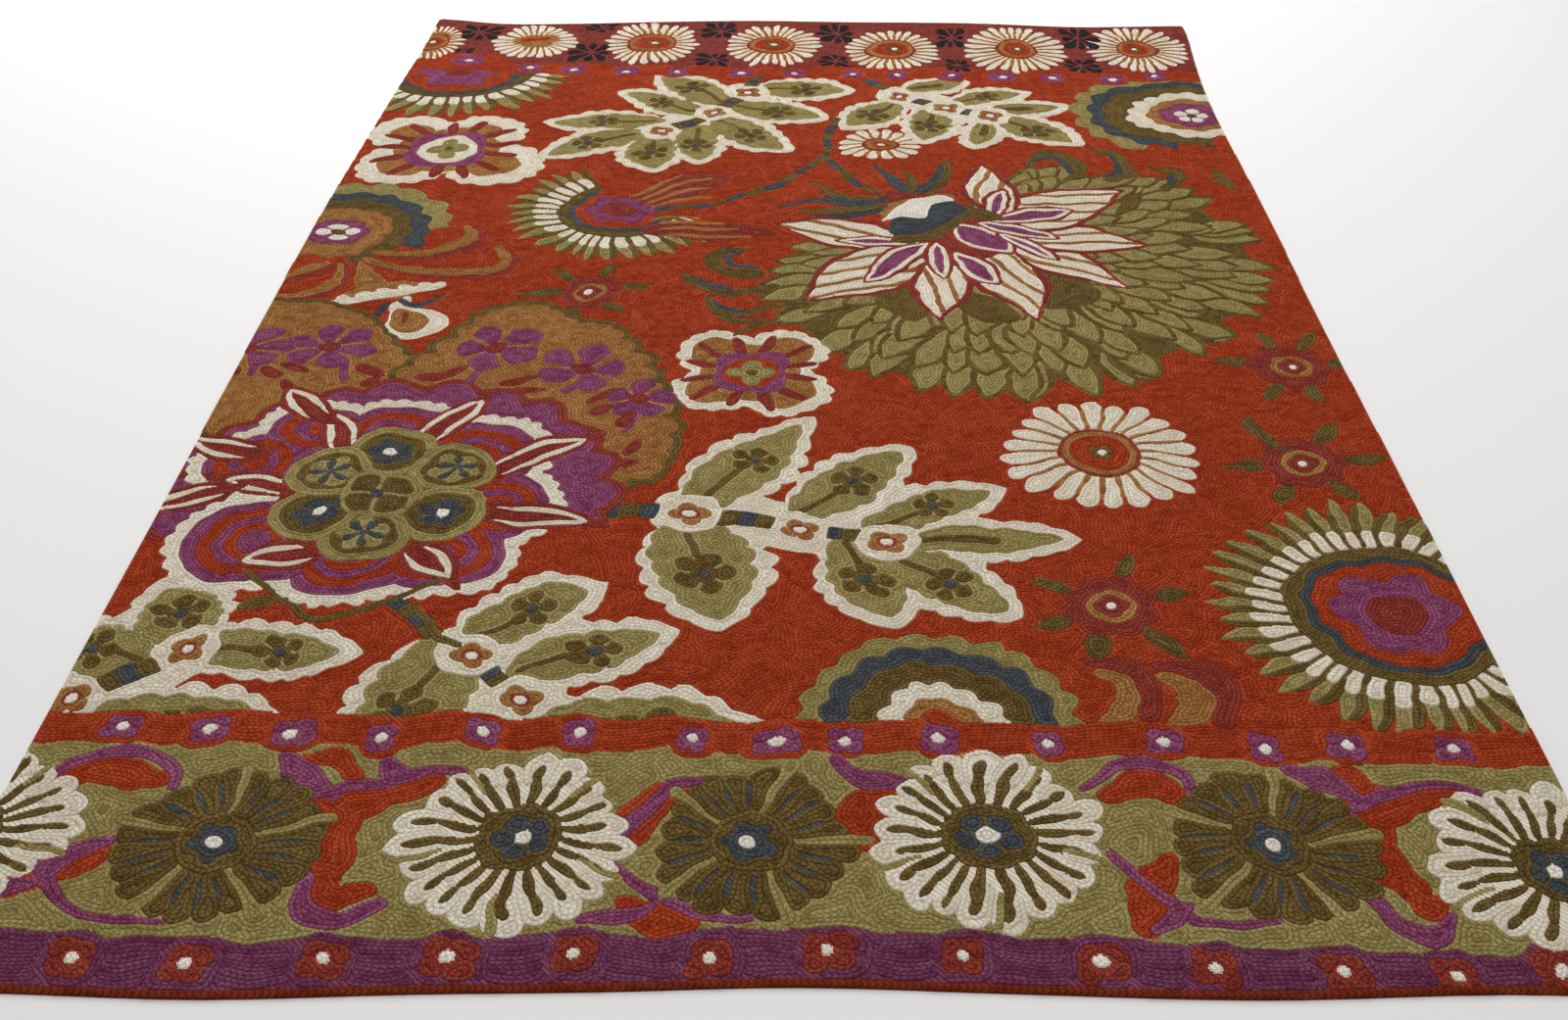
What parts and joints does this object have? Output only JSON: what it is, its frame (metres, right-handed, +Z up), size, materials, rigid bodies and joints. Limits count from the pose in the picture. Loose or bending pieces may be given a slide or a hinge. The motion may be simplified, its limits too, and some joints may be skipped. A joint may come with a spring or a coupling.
{
  "type": "suzani kilim rug",
  "caption": "Flat oblong suzani rug of cotton cloth covered in wool chain stitch, with flowers, leaf sprays, rosettes and a large palmette between two borders.",
  "frame": {"origin": "centre of the rug's bounding box, on the floor under the rug", "axes": "+Z up out of the rug's face, +Y along the rug from the olive border to the rose border, +X across it to the right"},
  "size_m": [1.5426, 2.4708, 0.0042],
  "materials": {
    "rust_wool": "matt rust red hand-spun wool in rows of chain stitch",
    "brick_wool": "matt brick red hand-spun wool in rows of chain stitch",
    "rose_wool": "matt brick rose hand-spun wool in rows of chain stitch",
    "purple_wool": "matt purple hand-spun wool in rows of chain stitch",
    "light_olive_wool": "matt light olive hand-spun wool in rows of chain stitch",
    "dark_olive_wool": "matt dark olive brown hand-spun wool in rows of chain stitch",
    "cream_wool": "matt cream hand-spun wool in rows of chain stitch",
    "slate_blue_wool": "matt slate blue hand-spun wool in rows of chain stitch",
    "ochre_wool": "matt ochre hand-spun wool in rows of chain stitch",
    "black_wool": "matt black hand-spun wool in rows of chain stitch",
    "cotton_cloth": "plain unbleached cotton under and behind the stitching"
  },
  "bodies": {
    "root": {"embroidered_cloth": "rust_wool"}
  },
  "joints": []
}
